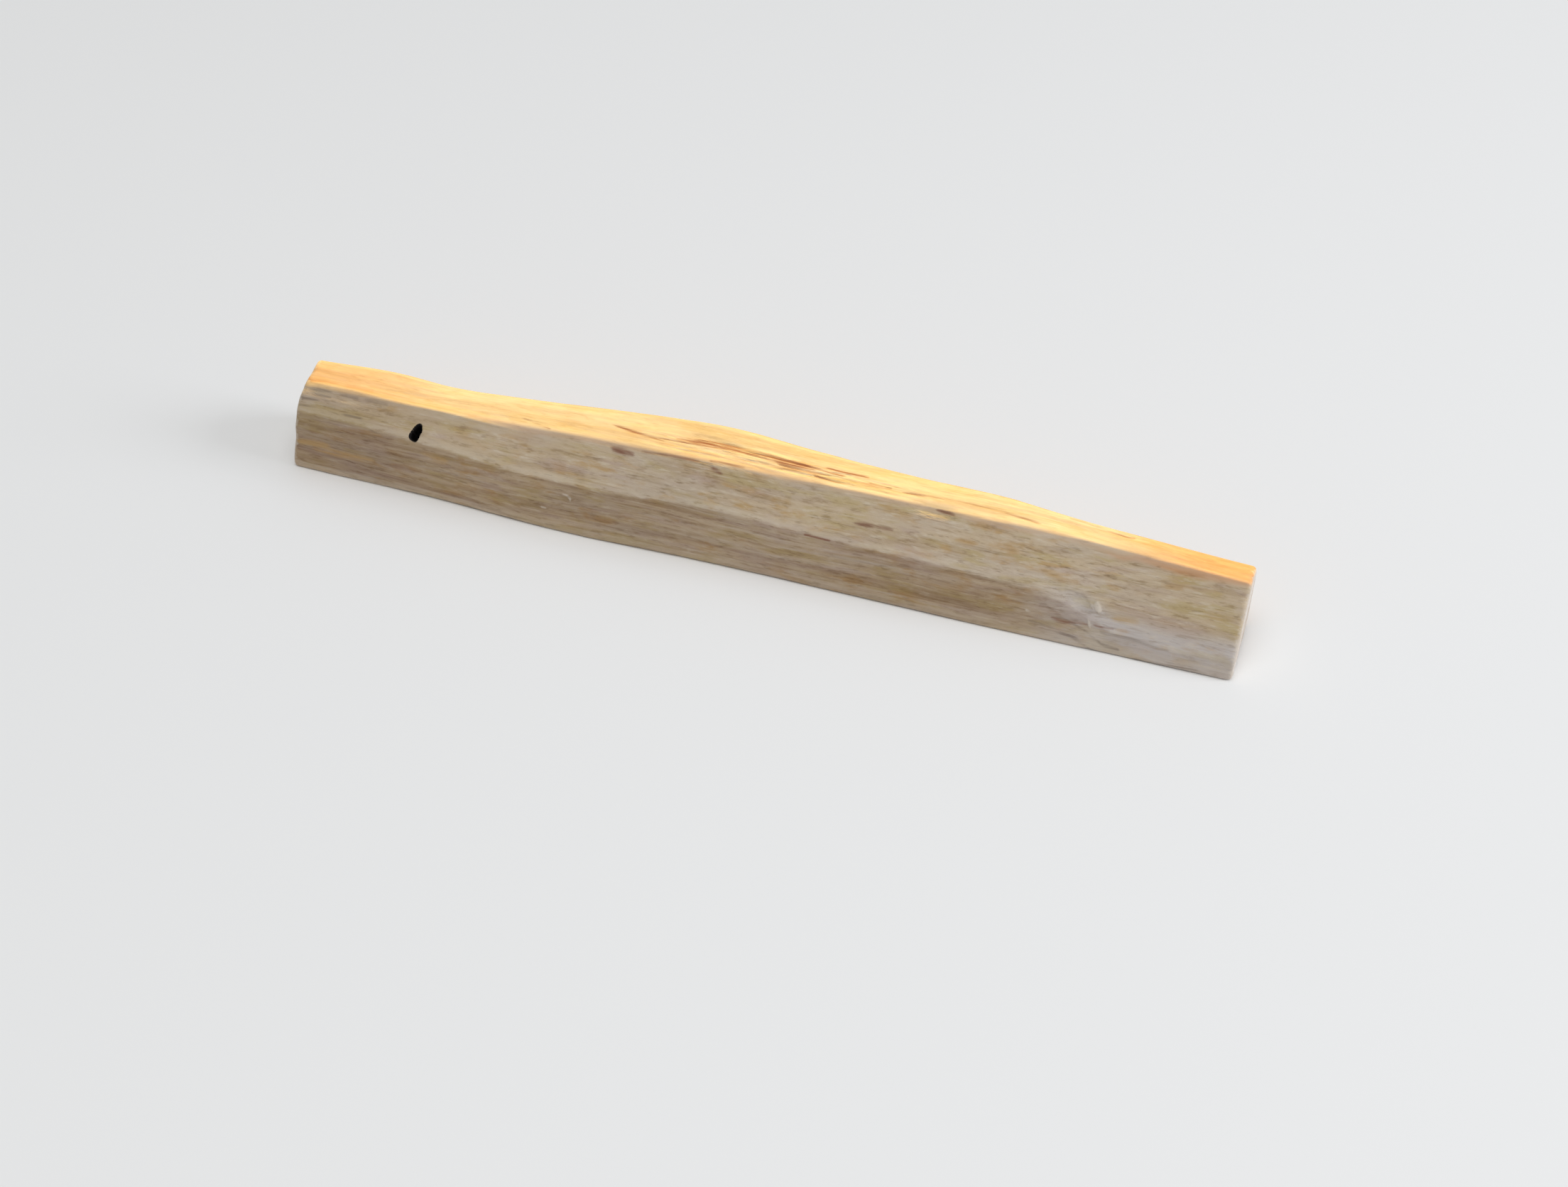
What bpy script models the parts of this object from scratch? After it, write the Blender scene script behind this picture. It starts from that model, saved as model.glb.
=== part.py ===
"""A palo santo stick: one piece of wood, split from a log and sawn to length.

The grain runs along X. The stick lies on its flat sawn side, with the wide
hewn front towards -Y. Metres, +Z up. The origin is the middle of the
footprint, on the surface that the stick lies on.
"""

import math

import bmesh
import bpy
import numpy as np
from mathutils import Matrix, Vector, noise

# Driving dimensions, in millimetres, in the carver's own frame: the grain along X
# from the left end at -50 to the right end at 50, Y to the back and Z up.
MM = 0.001
HALF_LENGTH = 50.0

# The long corners between the hewn sides, as (along, across, up).
FRONT_BOTTOM = [(-50, -3.0, 0), (-36, -3.1, 0), (-20, -3.8, 0), (-6, -3.4, 0), (20, -3.4, 0), (50, -3.1, 0)]
FRONT_RIDGE = [
    (-50, -2.3, 6.9), (-44, -2.4, 7.0), (-34, -2.6, 6.5), (-24, -2.8, 5.7), (-14, -2.7, 5.8), (-4, -2.5, 6.5),
    (8, -2.2, 5.7), (20, -2.0, 5.4), (30, -1.7, 4.9), (34, -1.9, 3.7), (37, -2.3, 2.3), (43, -2.5, 1.9),
    (50, -2.4, 2.2),
]
FRONT_TOP = [
    (-50, 0.0, 8.6), (-36, 0.2, 8.8), (-18, 0.7, 9.4), (0, 1.1, 9.5), (18, 1.6, 9.4), (34, 1.8, 9.2),
    (50, 1.5, 8.6),
]
BACK_TOP = [
    (-50, 4.8, 8.6), (-40, 5.2, 8.9), (-35, 5.1, 8.6), (-28, 5.5, 8.8), (-14, 6.7, 9.3), (-5, 7.3, 9.5),
    (6, 7.0, 9.0), (18, 6.4, 9.0), (25, 6.3, 9.0), (32, 5.5, 8.9), (42, 5.1, 8.5), (50, 4.8, 8.3),
]
BACK_RIDGE = [(-50, 6.4, 4.7), (-25, 7.2, 4.2), (-4, 8.9, 5.0), (20, 8.0, 4.1), (50, 6.4, 4.5)]
BACK_BOTTOM = [(-50, 5.6, 0), (-20, 6.9, 0), (0, 8.2, 0), (25, 7.0, 0), (50, 5.7, 0)]
CORNERS = (FRONT_BOTTOM, FRONT_RIDGE, FRONT_TOP, BACK_TOP, BACK_RIDGE, BACK_BOTTOM)

# How far the rounding of each corner reaches along the two sides that meet in it, and
# how far the side after each corner swells out in its middle. The last side is the
# flat one that the stick lies on.
ROUNDING = (0.3, 0.8, 0.35, 0.5, 1.4, 0.4)
SWELL = (0.10, 0.12, 0.08, 0.15, 0.10, 0.0)

# The slow waves of the split wood: long along the grain, short across it
WAVE_HEIGHT = 0.14
WAVE_ALONG = 9.0
WAVE_ACROSS = 3.0
FINER_WAVE = 2.3

# The saw cuts, as (along at the origin, lean per mm across, lean per mm up).
LEFT_CUT = (-50.9, -0.14, 0.13)
RIGHT_CUT = (49.8, -0.05, 0.04)
END_EASE = 0.3

RINGS = 72
POINTS_ON_A_ROUNDING = 3
POINTS_ON_A_SIDE = 3

# A beetle's bore hole low on the upper front side: its place, its half sizes, its depth,
# its floor as a share of its mouth, and its lean.
BORE_HOLE_AT = (-35.95, -1.8, 7.15)
BORE_HOLE_ACROSS = 0.55
BORE_HOLE_TALL = 0.9
BORE_HOLE_DEPTH = 2.2
BORE_HOLE_FLOOR = 0.75
BORE_HOLE_LEAN = math.radians(28)
UPPER_SIDE_TILT = math.radians(50)

# Where a sliver broke off, as (middle, half sizes) of each bite: one on the top front
# corner and one where the front ridge runs out.
BROKEN_SLIVERS = (
    ((18.9, 0.9, 9.65), (2.8, 0.85, 0.8)),
    ((34.4, -2.35, 4.7), (2.6, 1.2, 1.0)),
)

# Pale straw wood, dry and unpolished, in linear colour
WOOD_COLOUR = (0.56, 0.42, 0.25, 1.0)
WOOD_ROUGHNESS = 0.8
SHARPER_THAN = math.radians(35)


def value_along(xs, values, x):
    """The smooth curve through hand-set values, read at x (cubic Hermite)."""
    slopes = np.gradient(values, xs)
    i = int(np.clip(np.searchsorted(xs, x) - 1, 0, len(xs) - 2))
    span = xs[i + 1] - xs[i]
    t = (x - xs[i]) / span
    return (
        values[i] * (1 + 2 * t) * (1 - t) ** 2
        + span * slopes[i] * t * (1 - t) ** 2
        + values[i + 1] * t * t * (3 - 2 * t)
        - span * slopes[i + 1] * t * t * (1 - t)
    )


def corner_at(corner, x):
    """Where a long corner crosses the plane at x, as a 2D point (across, up)."""
    xs, across, up = np.array(corner, float).T
    return Vector((value_along(xs, across, x), value_along(xs, up, x)))


def hewn_wave(x, point):
    """The slow unevenness that splitting leaves on a side, about -1 to 1."""
    place = Vector((x / WAVE_ALONG, point.x / WAVE_ACROSS, point.y / WAVE_ACROSS))
    return noise.noise(place) + 0.5 * noise.noise(place * FINER_WAVE)


def section(x):
    """The closed outline of the stick at x, as 2D points (across, up)."""
    corners = [corner_at(c, x) for c in CORNERS]
    count = len(corners)
    starts, ends, roundings = [], [], []
    for i, corner in enumerate(corners):
        towards_last = (corners[i - 1] - corner).normalized()
        towards_next = (corners[(i + 1) % count] - corner).normalized()
        starts.append(corner + towards_last * ROUNDING[i])
        ends.append(corner + towards_next * ROUNDING[i])
        for k in range(POINTS_ON_A_ROUNDING):
            t = k / (POINTS_ON_A_ROUNDING - 1)
            first = starts[i].lerp(corner, t)
            second = corner.lerp(ends[i], t)
            roundings.append(first.lerp(second, t))
    outline = []
    for i in range(count):
        outline += roundings[i * POINTS_ON_A_ROUNDING:(i + 1) * POINTS_ON_A_ROUNDING]
        a, b = ends[i], starts[(i + 1) % count]
        side = (b - a).normalized()
        outwards = Vector((-side.y, side.x))
        for k in range(1, POINTS_ON_A_SIDE + 1):
            t = k / (POINTS_ON_A_SIDE + 1)
            point = a.lerp(b, t)
            lift = SWELL[i] * 4 * t * (1 - t)
            if SWELL[i]:
                lift += WAVE_HEIGHT * math.sin(math.pi * t) * hewn_wave(x, point)
            outline.append(point + outwards * lift)
    return outline


def cut_at(cut, point):
    """How far along the saw cut lies at a point of the section."""
    along, lean_across, lean_up = cut
    return along + lean_across * point.x + lean_up * point.y


def ring_of_points(share):
    """The section at this share of the length, leaned so that the ends match the cuts."""
    x = -HALF_LENGTH + 2 * HALF_LENGTH * share
    points = []
    for p in section(x):
        left, right = cut_at(LEFT_CUT, p), cut_at(RIGHT_CUT, p)
        points.append(Vector((left + (right - left) * share, p.x, p.y)))
    return points


def eased_end(points, cut):
    """The end's outline on the cut itself, drawn in so that its edge is eased."""
    centre = sum((Vector(p.yz) for p in points), Vector((0, 0))) / len(points)
    drawn_in = []
    for p in points:
        inwards = centre - Vector(p.yz)
        q = Vector(p.yz) + inwards.normalized() * END_EASE
        drawn_in.append(Vector((cut_at(cut, q), q.x, q.y)))
    return drawn_in


def loft(rings):
    """One closed mesh through rings of points, with flat ends."""
    bm = bmesh.new()
    loops = [[bm.verts.new(p * MM) for p in ring] for ring in rings]
    for one, two in zip(loops, loops[1:]):
        for i in range(len(one)):
            bm.faces.new((one[i - 1], one[i], two[i], two[i - 1]))
    bm.faces.new(loops[0])
    bm.faces.new(loops[-1])
    bmesh.ops.recalc_face_normals(bm, faces=bm.faces)
    bmesh.ops.triangulate(bm, faces=bm.faces, quad_method="SHORT_EDGE")
    mesh = bpy.data.meshes.new("palo_santo_stick")
    bm.to_mesh(mesh)
    bm.free()
    return mesh


def hewn_blank():
    """The stick with its hewn sides and sawn ends, before anything broke off it."""
    share_of_ease = END_EASE / (2 * HALF_LENGTH)
    shares = np.linspace(share_of_ease, 1 - share_of_ease, RINGS)
    rings = [ring_of_points(share) for share in shares]
    rings.insert(0, eased_end(rings[0], LEFT_CUT))
    rings.append(eased_end(rings[-1], RIGHT_CUT))
    return loft(rings)


def collection(name):
    made = bpy.data.collections.new(name)
    bpy.context.scene.collection.children.link(made)
    return made


def guide(name, mesh, cutters):
    """A cutter: drawn as wire, and no part of the stick."""
    obj = bpy.data.objects.new(name, mesh)
    obj.hide_render = True
    obj.display_type = "WIRE"
    cutters.objects.link(obj)
    return obj


def bore_hole_cutter(cutters):
    """An oval plug that stands square on the upper front side."""
    mesh = bpy.data.meshes.new("bore_hole_cutter")
    bm = bmesh.new()
    floor, mouth = BORE_HOLE_FLOOR * MM, 1.0 * MM
    plug_length = 2 * BORE_HOLE_DEPTH * MM
    bmesh.ops.create_cone(bm, cap_ends=True, segments=16, radius1=floor, radius2=mouth, depth=plug_length)
    oval = Matrix.Diagonal((BORE_HOLE_ACROSS, BORE_HOLE_TALL, 1.0, 1.0))
    lean = Matrix.Rotation(-BORE_HOLE_LEAN, 4, "Z")
    square_on = Matrix.Rotation(math.pi / 2 - UPPER_SIDE_TILT, 4, "X")
    place = Matrix.Translation(Vector(BORE_HOLE_AT) * MM)
    bm.transform(place @ square_on @ lean @ oval)
    bm.to_mesh(mesh)
    bm.free()
    return guide("bore_hole_cutter", mesh, cutters)


def sliver_cutter(index, middle, half_sizes, cutters):
    """A long rounded bite along the grain."""
    name = f"broken_sliver_cutter_{index}"
    mesh = bpy.data.meshes.new(name)
    bm = bmesh.new()
    bmesh.ops.create_uvsphere(bm, u_segments=14, v_segments=8, radius=MM)
    along_grain = Matrix.Rotation(math.pi / 2, 4, "Y")
    stretch = Matrix.Diagonal((*half_sizes, 1.0))
    bm.transform(Matrix.Translation(Vector(middle) * MM) @ stretch @ along_grain)
    bm.to_mesh(mesh)
    bm.free()
    return guide(name, mesh, cutters)


def cut_away(stick, cutter):
    boolean = stick.modifiers.new(cutter.name, "BOOLEAN")
    boolean.operation = "DIFFERENCE"
    boolean.object = cutter


def wood():
    material = bpy.data.materials.new("palo_santo_wood")
    material.use_nodes = True
    surface = material.node_tree.nodes["Principled BSDF"]
    surface.inputs["Base Color"].default_value = WOOD_COLOUR
    surface.inputs["Roughness"].default_value = WOOD_ROUGHNESS
    return material


def footprint_middle(mesh):
    """The middle of the mesh's box in X and Y, at its lowest point."""
    points = np.array([v.co for v in mesh.vertices])
    middle = (points.min(axis=0) + points.max(axis=0)) / 2
    return Vector((middle[0], middle[1], points[:, 2].min()))


def build():
    for obj in list(bpy.data.objects):
        bpy.data.objects.remove(obj)
    parts = collection("palo_santo_stick")
    cutters = collection("cutters")
    mesh = hewn_blank()
    stick = bpy.data.objects.new("palo_santo_stick", mesh)
    parts.objects.link(stick)
    mesh.materials.append(wood())
    tools = [bore_hole_cutter(cutters)]
    for index, (middle, half_sizes) in enumerate(BROKEN_SLIVERS):
        tools.append(sliver_cutter(index, middle, half_sizes, cutters))
    shift = -footprint_middle(mesh)
    for obj in (stick, *tools):
        obj.location = shift
    for tool in tools:
        cut_away(stick, tool)
    mesh.shade_smooth()
    mesh.set_sharp_from_angle(angle=SHARPER_THAN)


build()
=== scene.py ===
# %% [markdown]
# # A palo santo stick
#
# Palo santo is a pale, resinous wood that is burnt for its smell. A log is sawn into short
# lengths, split along the grain and trimmed with a blade, so a stick has long uneven sides,
# soft corners between them and two plain sawn ends. This lesson dresses a measured solid of
# one stick: it wraps the solid in a fine skin, tears and drills that skin where the real wood
# is torn and bored, and mixes a wood finish that runs through the stick as real grain does.

# %% Load the solid that fixes every size
import math

import bpy
import numpy as np
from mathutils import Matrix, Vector, noise
from mathutils.bvhtree import BVHTree


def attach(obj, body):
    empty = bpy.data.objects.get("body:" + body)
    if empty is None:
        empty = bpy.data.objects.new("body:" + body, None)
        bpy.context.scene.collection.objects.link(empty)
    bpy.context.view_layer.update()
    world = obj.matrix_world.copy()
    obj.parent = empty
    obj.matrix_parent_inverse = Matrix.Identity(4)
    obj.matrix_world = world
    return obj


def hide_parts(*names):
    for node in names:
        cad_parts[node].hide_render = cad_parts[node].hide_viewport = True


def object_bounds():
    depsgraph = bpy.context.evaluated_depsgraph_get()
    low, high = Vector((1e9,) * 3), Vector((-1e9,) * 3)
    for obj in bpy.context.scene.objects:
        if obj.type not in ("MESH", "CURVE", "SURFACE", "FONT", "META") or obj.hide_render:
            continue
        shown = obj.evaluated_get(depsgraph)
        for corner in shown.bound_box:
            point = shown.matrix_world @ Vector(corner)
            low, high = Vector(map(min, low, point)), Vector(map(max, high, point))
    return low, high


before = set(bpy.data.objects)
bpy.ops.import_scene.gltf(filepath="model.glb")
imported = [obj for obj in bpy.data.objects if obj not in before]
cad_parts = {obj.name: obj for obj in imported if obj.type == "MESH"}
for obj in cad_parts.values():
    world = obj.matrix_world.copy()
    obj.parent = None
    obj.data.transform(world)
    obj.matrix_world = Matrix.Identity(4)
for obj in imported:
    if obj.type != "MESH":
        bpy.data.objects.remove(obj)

MM = 0.001
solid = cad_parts["palo_santo_stick"]
solid_box = [list(corner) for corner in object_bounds()]
low, high = [np.array(corner) / MM for corner in solid_box]
print("the solid measures", np.round(high - low, 2), "mm")

# %% [markdown]
# ## Camera
#
# The photograph looks down on the stick from the front right. Its left and right ends and
# its long edges give the direction: 20 degrees round and 40 degrees up, from about a
# hand's length and a half away. A camera so close makes the near end a little taller than
# the far one, which a long lens from further off would not.

# %% The camera
LENS = 60.0
AZIMUTH = 19.87
ELEVATION = 40.0
DISTANCE = 259.5 * MM
AIM = Vector((6.11, -7.65, 0.0)) * MM


def way_to(azimuth, elevation):
    """The direction of a place so many degrees round to the right and up."""
    a, e = math.radians(azimuth), math.radians(elevation)
    return Vector((math.sin(a) * math.cos(e), -math.cos(a) * math.cos(e), math.sin(e)))


def look_back(thing, way):
    """Turn a camera or a lamp to face back along the way that it stands out."""
    thing.rotation_euler = (-way).to_track_quat("-Z", "Y").to_euler()


camera = bpy.data.objects.new("camera", bpy.data.cameras.new("camera"))
bpy.context.scene.collection.objects.link(camera)
camera.location = AIM + way_to(AZIMUTH, ELEVATION) * DISTANCE
look_back(camera, way_to(AZIMUTH, ELEVATION))
camera.data.lens = LENS
camera.data.sensor_width = 36.0
camera.data.clip_start = 1 * MM
bpy.context.scene.camera = camera
print("camera at", np.round(np.array(camera.location) / MM, 1), "mm")

# %% [markdown]
# ## Floor and light
#
# The stick lies on a plain floor in pale matt paint, which shows a soft shadow and no
# reflection. A broad soft box high in front and the pale surroundings fill the shaded sides
# with even light, a little stronger on the upper front side than on the steep one below
# it. A smaller box on the right keeps the sawn end bright. A warm soft box stands low
# behind the stick, so the top side glows and the front stays in shade, with a crisp border
# along the corner between them. That one falls on the stick alone, which keeps the floor
# neutral, and the last one falls on the floor alone.

# %% Colours from hex
def linear(hex_colour):
    """An sRGB hex colour as the linear red, green, blue and alpha that Blender wants."""
    shares = [int(hex_colour[i:i + 2], 16) / 255 for i in (1, 3, 5)]
    return [s / 12.92 if s <= 0.04045 else ((s + 0.055) / 1.055) ** 2.4 for s in shares] + [1.0]


print("mid grey #808080 is", round(linear("#808080")[0], 3), "in linear light")

# %% The floor
FLOOR_HALF = 1.5
# a hair below the stick, so that the two never share a plane
FLOOR_DROP = 0.02 * MM

floor_mesh = bpy.data.meshes.new("floor")
floor_corners = [(-FLOOR_HALF, -FLOOR_HALF, 0), (FLOOR_HALF, -FLOOR_HALF, 0)]
floor_corners += [(FLOOR_HALF, FLOOR_HALF, 0), (-FLOOR_HALF, FLOOR_HALF, 0)]
floor_mesh.from_pydata(floor_corners, [], [(0, 1, 2, 3)])
floor = bpy.data.objects.new("floor", floor_mesh)
floor.location.z = -FLOOR_DROP
bpy.context.scene.collection.objects.link(floor)

floor_paint = bpy.data.materials.new("pale_matt_paint")
floor_paint.use_nodes = True
floor_surface = floor_paint.node_tree.nodes["Principled BSDF"]
floor_surface.inputs["Base Color"].default_value = linear("#F5F5F4")
floor_surface.inputs["Roughness"].default_value = 0.9
floor_mesh.materials.append(floor_paint)
print("floor of", 2 * FLOOR_HALF, "m")

# %% The soft boxes
def soft_box(name, azimuth, elevation, distance, size, power, colour):
    """A square lamp of a size and distance in m that looks at the stick."""
    lamp = bpy.data.objects.new(name, bpy.data.lights.new(name, "AREA"))
    lamp.data.size = size
    lamp.data.energy = power
    lamp.data.color = linear(colour)[:3]
    lamp.location = way_to(azimuth, elevation) * distance
    look_back(lamp, way_to(azimuth, elevation))
    bpy.context.scene.collection.objects.link(lamp)
    return lamp


front_box = soft_box(
    "front_soft_box", azimuth=20, elevation=77, distance=0.8, size=0.6, power=1.45, colour="#FFFFFF")
right_box = soft_box(
    "right_soft_box", azimuth=100, elevation=26, distance=0.8, size=0.4, power=2.6, colour="#F4F8FF")
warm_box = soft_box(
    "warm_soft_box", azimuth=185, elevation=32, distance=0.9, size=0.08, power=14.2, colour="#FFD970")
floor_box = soft_box(
    "floor_soft_box", azimuth=0, elevation=85, distance=1.2, size=1.0, power=2.5, colour="#FFFFFF")
print("lamps:", front_box.name, right_box.name, warm_box.name, floor_box.name)

# %% The pale surroundings
ROOM_COLOUR = linear("#F8F9FA")
ROOM_STRENGTH = 0.40

surroundings = bpy.data.worlds.new("pale_room")
surroundings.use_nodes = True
surroundings.node_tree.nodes["Background"].inputs["Color"].default_value = ROOM_COLOUR
surroundings.node_tree.nodes["Background"].inputs["Strength"].default_value = ROOM_STRENGTH
bpy.context.scene.world = surroundings
bpy.context.scene.view_settings.view_transform = "Standard"
print("the room lights everything at strength", ROOM_STRENGTH)

# %% [markdown]
# ## The skin
#
# Wood shows its grain in relief as well as in colour, and the solid is too coarse for that.
# Subdividing it would put as many points along the grain as across it, although a bundle of
# fibres is a few tenths of a millimetre wide and many millimetres long. So the skin is a
# grid made for wood: rings of closely spaced points round the stick, with wider steps
# along it. Rays sent out from a straight core line find where the solid's surface is.

# %% Find the two sawn ends
# the y and z in mm of a straight line that stays well inside the stick
CORE = np.array((-0.4, 4.3))

solid_points = np.array([v.co for v in solid.data.vertices]) / MM
solid_faces = [list(p.vertices) for p in solid.data.polygons]
solid_tree = BVHTree.FromPolygons(solid_points.tolist(), solid_faces)


def sawn_end(direction):
    """The plane of one end, as the a, b and c of x = a + b*y + c*z, in mm."""
    spots = [(y, z) for y in (-1.5, 0.3, 1.8) for z in (2.0, 4.3, 6.3)]
    reached = [solid_tree.ray_cast((0, y, z), (direction, 0, 0))[0].x for y, z in spots]
    rows = [(1, y, z) for y, z in spots]
    return np.linalg.lstsq(np.array(rows), np.array(reached), rcond=None)[0]


left_end, right_end = sawn_end(-1), sawn_end(1)
print("left end", np.round(left_end, 3), "right end", np.round(right_end, 3))

# %% Measure the solid with rays
AROUND = 288
MEASURED = 200
turns = np.linspace(0, 2 * math.pi, AROUND, endpoint=False)
# from just inside one sawn end to just inside the other
measured_shares = np.linspace(0.007, 0.993, MEASURED)


def place(shares, reach):
    """Points at a share of the way along and a reach out from the core, in mm."""
    y = CORE[0] + reach * np.cos(turns)
    z = CORE[1] + reach * np.sin(turns)
    left = left_end[0] + left_end[1] * y + left_end[2] * z
    right = right_end[0] + right_end[1] * y + right_end[2] * z
    x = left + (right - left) * shares[:, None]
    return np.stack([x, y, z], axis=-1)


def reach_of_solid(xs):
    """How far out the surface is from the core line, for a grid of x positions."""
    reach = np.empty(xs.shape)
    for j, turn in enumerate(turns):
        outwards = (0, math.cos(turn), math.sin(turn))
        for i, x in enumerate(xs[:, j]):
            reach[i, j] = solid_tree.ray_cast((x, CORE[0], CORE[1]), outwards)[3]
    return reach


# the ends lean, so x depends on the reach: a first round of rays corrects the guess
first_guess = place(measured_shares, np.full((MEASURED, AROUND), 4.5))
reach = reach_of_solid(first_guess[..., 0])
reach = reach_of_solid(place(measured_shares, reach)[..., 0])
print("the surface is", round(reach.min(), 2), "to", round(reach.max(), 2), "mm from the core line")

# %% [markdown]
# ### Close the hole and soften the facets
#
# The rays fall into the bore hole that the solid has. A hole needs points much closer
# together than plain wood does, so the skin is closed over it here, and the hole is drilled
# again later in finer steps. The solid's flat facets are blended at the same time, over
# about a millimetre along the grain and much less across it, which keeps the long corners.

# %% Close the hole
HOLE = np.array((-35.17, -4.31, 7.15))
HOLE_PATCH = 2.5

spots = place(measured_shares, reach)
over_hole = np.linalg.norm(spots - HOLE, axis=-1) < HOLE_PATCH
for j in np.flatnonzero(over_hole.any(axis=0)):
    keep = ~over_hole[:, j]
    reach[:, j] = np.interp(measured_shares, measured_shares[keep], reach[keep, j])
print("closed the skin at", int(over_hole.sum()), "points")

# %% Soften the facets
def bell(radius, spread):
    """Weights that fall off like a bell, for blending neighbours."""
    steps = np.arange(-radius, radius + 1)
    weights = np.exp(-0.5 * (steps / spread) ** 2)
    return weights / weights.sum()


def blend(values, weights, axis, wraps):
    """Each value blended with its neighbours along one axis of the grid."""
    radius = len(weights) // 2
    sides = [(0, 0), (0, 0)]
    sides[axis] = (radius, radius)
    padded = np.pad(values, sides, mode="wrap" if wraps else "edge")
    return np.apply_along_axis(np.convolve, axis, padded, weights, mode="valid")


reach = blend(reach, bell(6, 2.0), axis=0, wraps=False)
reach = blend(reach, bell(3, 1.0), axis=1, wraps=True)
print("blended", reach.shape, "measurements")

# %% [markdown]
# ### Rings of points
#
# The rings stand about 0.4 mm apart, and closer where the shape changes quickly: at the bore
# hole, at a torn flake near the right end and at the sawn edges. The last rings draw in a
# little, because a saw leaves an edge that soon wears round.

# %% Share the rings out along the stick
RING_STEP = 0.43
FINE_STEP = 0.13
FLAKE = (36.6, -4.5, 4.0)
# how far the fine steps reach, in mm
FINE_AT_ENDS = 0.6
FINE_AT_HOLE = 1.45
FINE_AT_FLAKE = 1.0

length = right_end[0] - left_end[0]
fine_x = np.linspace(0, length, 4000)


def end_shares(point):
    """The x of the left and the right end at a point's y and z."""
    row = np.array((1, point[1], point[2]))
    return left_end @ row, right_end @ row


def rings_near(point, half_width):
    """1 within half_width mm of a point along the stick, and 0 away from it."""
    left, right = end_shares(point)
    along = (point[0] - left) / (right - left) * length
    return np.exp(-((fine_x - along) / half_width) ** 6)


near_end = np.exp(-(np.minimum(fine_x, length - fine_x) / FINE_AT_ENDS) ** 2)
near_marks = np.maximum(rings_near(HOLE, FINE_AT_HOLE), rings_near(FLAKE, FINE_AT_FLAKE))
crowded = np.maximum(near_end, near_marks)
crowding = 1 / RING_STEP + (1 / FINE_STEP - 1 / RING_STEP) * crowded
counted = np.concatenate([[0], np.cumsum((crowding[1:] + crowding[:-1]) / 2 * np.diff(fine_x))])
rings = int(counted[-1]) + 1
shares = np.interp(np.linspace(0, counted[-1], rings), counted, fine_x) / length
print(rings, "rings of", AROUND, "points")

# %% Place the rings and wear the sawn edges
EDGE_WEAR = 0.55

ring_reach = np.array([np.interp(shares, measured_shares, reach[:, j]) for j in range(AROUND)]).T
to_end = np.minimum(shares, 1 - shares) * length
wear = EDGE_WEAR * (1 + 0.30 * np.sin(3 * turns + 1.0) * np.sin(7 * turns))
short = np.clip(1 - to_end[:, None] / wear, 0, 1)
ring_reach -= wear * (1 - np.sqrt(1 - short ** 2))
base = place(shares, ring_reach)
print("the edges are worn by", round(wear.min(), 2), "to", round(wear.max(), 2), "mm")

# %% Which way the skin faces
def facing(points):
    """Unit normals of the grid, from the differences between neighbours."""
    along = np.gradient(points, axis=0)
    around = np.roll(points, -1, axis=1) - np.roll(points, 1, axis=1)
    normals = np.cross(around, along)
    return normals / np.linalg.norm(normals, axis=-1, keepdims=True)


normals = facing(base)
from_core = base - np.array((0, *CORE)) * (0, 1, 1)
outwards_share = np.mean(np.sum(normals[..., 1:] * from_core[..., 1:], axis=-1) > 0)
print("share of normals that point out:", round(float(outwards_share), 3))

# %% [markdown]
# ### A map of the skin
#
# A blunt ridge runs along the front of the stick, between a steep lower side and a slanting
# upper one. It makes a good line to measure from. Unrolled like bark, the skin becomes a
# flat map: x says how far along a point is, and a second number, up, says how many
# millimetres above the ridge it is, round over the upper front side and the top. Every mark
# further down is placed on this map.

# %% Measure up from the ridge
RIDGE_HEIGHTS = [(-49, 6.9), (-43, 7.0), (-33, 6.5), (-23, 5.7), (-13, 5.8), (-3, 6.5), (9, 5.7)]
RIDGE_HEIGHTS += [(21, 5.4), (31, 4.9), (35, 3.7), (38, 2.3), (44, 1.9), (51, 2.2)]

x = base[..., 0]
ridge_z = np.interp(x, *np.array(RIDGE_HEIGHTS).T)
on_front = base[..., 1] < CORE[0] - 1.5
ridge_at = np.argmin(np.where(on_front, np.abs(base[..., 2] - ridge_z), np.inf), axis=1)
steps = np.linalg.norm(np.roll(base, -1, axis=1) - base, axis=-1)
walked = np.concatenate([np.zeros((rings, 1)), np.cumsum(steps, axis=1)], axis=1)
round_length = walked[:, -1:]
at_ridge = np.take_along_axis(walked, ridge_at[:, None], axis=1)
missed = np.take_along_axis(base[..., 2] - ridge_z, ridge_at[:, None], axis=1)
up = at_ridge - walked[:, :-1] + missed
up = (up + round_length / 2) % round_length - round_length / 2
print("the map reaches from", round(up.min(), 1), "to", round(up.max(), 1), "mm about the ridge")

# %% [markdown]
# ## Relief of split wood
#
# A blade that splits wood follows the fibres. It leaves long shallow flutes, fine ridges of
# single fibre bundles, and thin layers that broke off part of the way along, so that one
# layer stands a hair above the next. Noise makes all of these once its space is squeezed:
# many millimetres along the grain to each fraction of a millimetre across it.

# %% Noise that runs with the grain
FLUTE_HEIGHT = 0.05
BUNDLE_HEIGHT = 0.030
FIBRE_HEIGHT = 0.018
LAYER_HEIGHT = 0.035


def grain_noise(points, along, across, shift=0.0):
    """Noise from about -1 to 1, with features of these lengths in mm."""
    squeezed = points / np.array((along, across, across)) + shift
    values = [noise.noise(p) for p in squeezed.reshape(-1, 3).tolist()]
    return np.array(values).reshape(points.shape[:-1])


def smooth_step(low_edge, high_edge, values):
    """0 at the low edge, 1 at the high edge, a soft ramp between, and level beyond both."""
    t = np.clip((values - low_edge) / (high_edge - low_edge), 0, 1)
    return t * t * (3 - 2 * t)


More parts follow.
